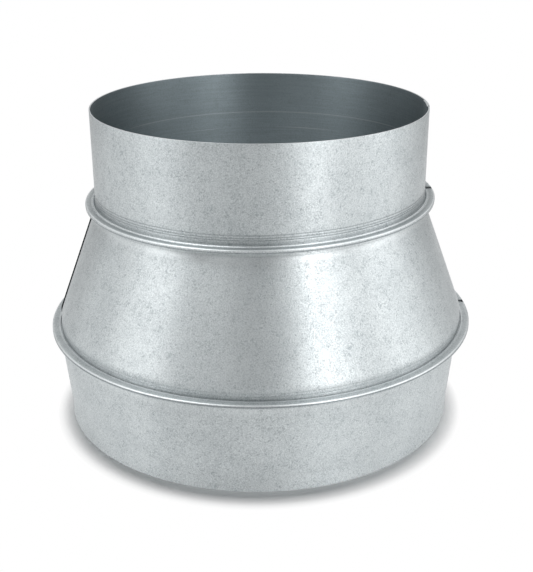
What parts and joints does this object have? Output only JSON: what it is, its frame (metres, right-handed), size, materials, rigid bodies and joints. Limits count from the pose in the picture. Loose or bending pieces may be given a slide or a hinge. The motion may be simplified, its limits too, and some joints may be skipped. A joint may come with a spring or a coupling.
{
  "type": "duct reducer",
  "caption": "Round sheet-metal duct reducer: a straight small collar and a wider collar joined by a cone with folded ring seams.",
  "frame": {"origin": "centre of the large mouth's rim, on the surface the reducer stands on", "axes": "+Z along the duct towards the small end, -Y towards the pictured front, +X to the right of it"},
  "size_m": [0.167, 0.167, 0.1212],
  "materials": {
    "galvanised_sheet": "galvanised, satin with a fine mottled spangle"
  },
  "bodies": {
    "root": {"small_collar": "galvanised_sheet", "cone": "galvanised_sheet", "large_collar": "galvanised_sheet"}
  },
  "joints": []
}
